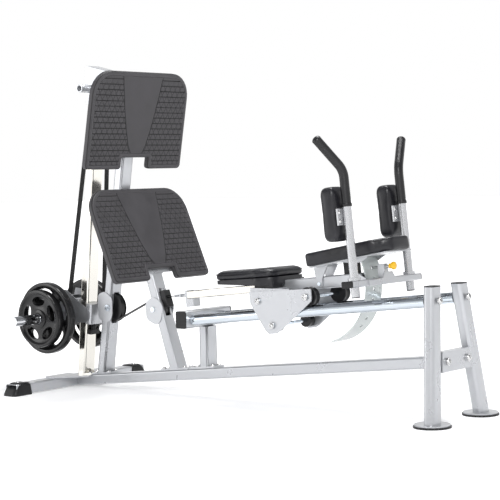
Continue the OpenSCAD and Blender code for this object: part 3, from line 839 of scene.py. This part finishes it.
def islands(name):
    """Boxes of the separate solids of a node."""
    bm = bmesh.new()
    bm.from_mesh(nodes[name].data)
    bmesh.ops.remove_doubles(bm, verts=bm.verts, dist=WELD)
    left, out = set(bm.verts), []
    while left:
        todo, seen = [left.pop()], []
        while todo:
            v = todo.pop()
            seen.append(v.co.copy())
            for e in v.link_edges:
                o = e.other_vert(v)
                if o in left:
                    left.remove(o)
                    todo.append(o)
        out.append((Vector([min(p[k] for p in seen) for k in range(3)]),
                    Vector([max(p[k] for p in seen) for k in range(3)])))
    bm.free()
    return sorted(out, key=lambda b: (round(b[0].x, 4), round(b[0].y, 4)))


def bolt(name, at, axis, r, body):
    """A round-headed bolt with a washer and a six-sided socket, standing on a face at at."""
    place = along(at, axis)
    v, f = turned([(0, 0), (r * 1.28, 0), (r * 1.28, r * 0.07), (r * 1.2, r * 0.13),
                   (r * 1.02, r * 0.13), (r, r * 0.16), (r * 0.97, r * 0.3), (r * 0.82, r * 0.48),
                   (r * 0.62, r * 0.58), (r * 0.44, r * 0.61)], place, 36)
    f = f[:-1]
    base = len(v)
    for depth in (0.30, 0.28):
        for k in range(36):
            a = 2 * math.pi * k / 36
            six = r * 0.34 / math.cos((a + math.pi / 6) % (math.pi / 3) - math.pi / 6)
            scale = 1.0 if depth == 0.30 else 0.02
            v.append(place(r * depth, six * scale * math.cos(a), six * scale * math.sin(a)))
    for row in range(2):
        a0 = base - 36 + 36 * row
        f += [(a0 + k, a0 + (k + 1) % 36, a0 + 36 + (k + 1) % 36, a0 + 36 + k) for k in range(36)]
    f.append(tuple(range(base + 36, base + 72)))
    build(name, v, f, "bolt_steel", body, sharp=30)


leg_way = facing("a_frame_crossmember", (1, 0, 0))
A_FRAME_X = 0.9      # bolts beyond this are the A-frame's
for k, (lo, hi) in enumerate(b for b in islands("frame_bolts") if b[0].x > A_FRAME_X):
    mid = (lo + hi) / 2
    reach = max((x - mid.x) * leg_way.x for x in (lo.x, hi.x))
    bolt("frame_dome_%d" % k, mid + leg_way * (reach - 0.0022), leg_way, 0.0125, "frame")
for k, (lo, hi) in enumerate(islands("roller_axles")):
    if hi.y - lo.y < 0.2:
        continue
    mid = (lo + hi) / 2
    for side, y, way in (("right", lo.y, -1), ("left", hi.y, 1)):
        bolt("axle_dome_%d_%s" % (k, side), Vector((mid.x, y - way * 0.0012, mid.z)),
             (0, way, 0), 0.0115, "carriage")
CAP_W, CAP_H, CAP_Y, CAP_Z = 0.057, 0.029, 0.262, 0.1005
for side, sign in SIDES:
    here = rails.moved(POST_X, sign * POST_Y, 0)
    corners = [(u, z) for u in (-0.033, 0.033) for z in (0.366, 0.404)]
    for k, (u, z) in enumerate(corners):
        bolt("pad_bolt_%s_%d" % (side, k), here.at(-0.0178, u, z), rails.x, 0.0072,
             "shoulder_" + side)
    foot = along(here.at(0, 0, 0.046), -rails.z)
    v, f = turned([(0, -0.012), (0.0150, -0.012), (0.0150, 0), (0.0182, 0), (0.0184, 0.002),
                   (0.0175, 0.004), (0, 0.0045)], foot, 40)
    build("post_foot_" + side, v, f, "knob_black", "shoulder_" + side)
    w, h = CAP_W / 2, CAP_H / 2
    plug = rounded([(-w, -h), (w, -h), (w, h), (-w, h)], [0.006] * 4, 6)
    rings = []
    for d, y in ((0.0042, -0.012), (0.0042, 0.0), (0.0, 0.0002), (0.0, 0.0032),
                 (0.0012, 0.0045), (0.004, 0.005)):
        rings.append([(POST_X + a, sign * (CAP_Y + y), CAP_Z + c) for a, c in inset(plug, d)])
    v, f = loft(rings)
    build("crossbar_cap_" + side, v, f, "knob_black", "carriage", rails)

# rubber boots on the ends of the rear tube, open towards the tube
BOOT_LONG = 0.115
lo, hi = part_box("rear_foot_boots")
mx, wide = (lo.x + hi.x) / 2, (hi.x - lo.x) / 2
for side, sign in SIDES:
    end = abs(lo.y if sign < 0 else hi.y)
    rings = []
    for z, d, e in ((0.0, 0.001, 0.001), (0.003, 0.0, 0.0), (0.010, 0.0005, 0.002),
                    (0.034, 0.0035, 0.014), (0.048, 0.0055, 0.022), (0.055, 0.0085, 0.030),
                    (0.0592, 0.0135, 0.038), (0.060, 0.019, 0.046)):
        pts = [(-wide + d, end - BOOT_LONG + d * 0.8), (wide - d, end - BOOT_LONG + d * 0.8),
               (wide - d, end - e), (-wide + d, end - e)]
        rings.append([(mx + a, sign * c, z)
                      for a, c in rounded(pts, [0.004, 0.004, 0.022, 0.022], 8)])
    v, f = loft(rings)
    boot = build("rear_boot_" + side, v, f, "foot_rubber", None, sharp=40)
    box = [(mx + a * 0.0379, sign * c, z) for z in (0.00475, 0.05525)
           for a, c in ((-1, 0.3), (1, 0.3), (1, end - 0.0202), (-1, end - 0.0202))]
    v, f = loft([box[:4], box[4:]])
    cutter = build("boot_cut", v, f, "foot_rubber", None)
    hollow = boot.modifiers.new("hollow", "BOOLEAN")
    hollow.object = cutter
    hollow.solver = "EXACT"
    bpy.context.view_layer.objects.active = boot
    bpy.ops.object.modifier_apply(modifier=hollow.name)
    bpy.data.objects.remove(cutter)
    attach(boot, "frame")
    if side == "right":
        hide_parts("rear_foot_boots")
    edge = lo.y if sign < 0 else hi.y
    bolt("boot_screw_" + side, Vector((mx, edge - sign * 0.062, hi.z - 0.0003)), UP, 0.009,
         "frame")

# yellow pull knob
mid = centre("back_pin_knob")
knob_at = Vector((mid.x, 0, mid.z)) - rails.x * 0.0150
knob = along(knob_at, rails.x)
v, f = turned([(0.0061, 0.0), (0.0105, 0.0), (0.0115, 0.001), (0.0105, 0.004), (0.0095, 0.010),
               (0.0125, 0.0135), (0.0165, 0.0150), (0.0172, 0.0175), (0.0172, 0.0230),
               (0.0162, 0.0262), (0.0125, 0.0285), (0.006, 0.0296), (0.0005, 0.0298),
               (0.0005, 0.0150), (0.0061, 0.0150)], knob, 48, closed=True)
build("pull_knob", v, f, "knob_yellow", "back_pin", stands_for=("back_pin_knob",))

# ---- stage ------------------------------------------------------------------------------------
FLOOR = 40            # half the side of the floor, metres
ground = build("floor", [(-FLOOR, -FLOOR, 0), (FLOOR, -FLOOR, 0), (FLOOR, FLOOR, 0),
                         (-FLOOR, FLOOR, 0)], [(0, 1, 2, 3)], None, None)
floor_m, t, b = new_material("floor_pale")
soft = node(t, "ShaderNodeTexNoise", Scale=3.0)
t.links.new(spread(t, soft.outputs["Fac"], (0.90, 0.90, 0.905), (0.93, 0.93, 0.93)),
            b.inputs["Base Color"])
b.inputs["Roughness"].default_value = 0.7
b.inputs["Specular IOR Level"].default_value = 0.2
# painted light: the floor glows, 0.30 near the middle rising to 1.0 from 4.5 m out, so the floor and the shadows
# on it fade to white
spot = node(t, "ShaderNodeTexCoord")
far = node(t, "ShaderNodeVectorMath", operation="LENGTH")
t.links.new(spot.outputs["Object"], far.inputs[0])
floor_glow = node(t, "ShaderNodeMapRange", interpolation_type="SMOOTHSTEP")
for k, value in (("From Min", 1.2), ("From Max", 4.5), ("To Min", 0.30), ("To Max", 1.0)):
    floor_glow.inputs[k].default_value = value
t.links.new(far.outputs["Value"], floor_glow.inputs["Value"])
t.links.new(floor_glow.outputs["Result"], b.inputs["Emission Strength"])
b.inputs["Emission Color"].default_value = (1, 1, 1, 1)
ground.data.materials.append(floor_m)
ground.location.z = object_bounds()[0].z
ground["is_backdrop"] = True

world = bpy.data.worlds.new("studio")
bpy.context.scene.world = world
world.use_nodes = True
wt = world.node_tree
wt.nodes["Background"].inputs["Strength"].default_value = 1.0
place = node(wt, "ShaderNodeTexCoord")
parts = node(wt, "ShaderNodeSeparateXYZ")
wt.links.new(place.outputs["Generated"], parts.inputs["Vector"])
wt.links.new(spread(wt, parts.outputs["Z"], (1.0, 1.0, 1.0), (0.34, 0.345, 0.36), 0.24, 0.50),
             wt.nodes["Background"].inputs["Color"])


def lamp(name, place, aim, size, power):
    """A soft rectangular lamp at place, turned towards aim."""
    d = bpy.data.lights.new(name, "AREA")
    d.shape = "RECTANGLE"
    d.size, d.size_y = size
    d.energy = power
    o = bpy.data.objects.new(name, d)
    o.location = place
    o.rotation_euler = (Vector(aim) - Vector(place)).to_track_quat("-Z", "Y").to_euler()
    bpy.context.scene.collection.objects.link(o)


# places and sizes in metres, power in watts
middle = (cad_lo + cad_hi) / 2
lamp("key", (2.6, -3.4, 3.2), middle, (1.6, 1.4), 125)
lamp("fill", (-3.9, -3.6, 1.6), middle, (1.8, 2.0), 32)
lamp("top", (0.0, 0.8, 4.0), middle, (2.4, 1.0), 110)

# the photo's view: a long lens, low, from the near corner of the A-frame end
YAW, PITCH, ROLL = 38.67, 2.89, -1.27
CAMERA_AT = (4.5506, -5.5622, 1.0542)
cam = bpy.data.cameras.new("camera")
cam.lens = 112.7
cam.sensor_width = 36
eye = bpy.data.objects.new("camera", cam)
bpy.context.scene.collection.objects.link(eye)
yaw, pitch, roll = math.radians(YAW), math.radians(PITCH), math.radians(ROLL)
look = Vector((-math.sin(yaw) * math.cos(pitch), math.cos(yaw) * math.cos(pitch),
               -math.sin(pitch)))
right0 = Vector((math.cos(yaw), math.sin(yaw), 0))
up0 = right0.cross(look)
right = right0 * math.cos(roll) + up0 * math.sin(roll)
up = up0 * math.cos(roll) - right0 * math.sin(roll)
turn = Matrix((right, up, -look)).transposed().to_4x4()
turn.translation = Vector(CAMERA_AT)
eye.matrix_world = turn
bpy.context.scene.camera = eye
bpy.context.scene.view_settings.view_transform = "Standard"

lo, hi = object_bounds()
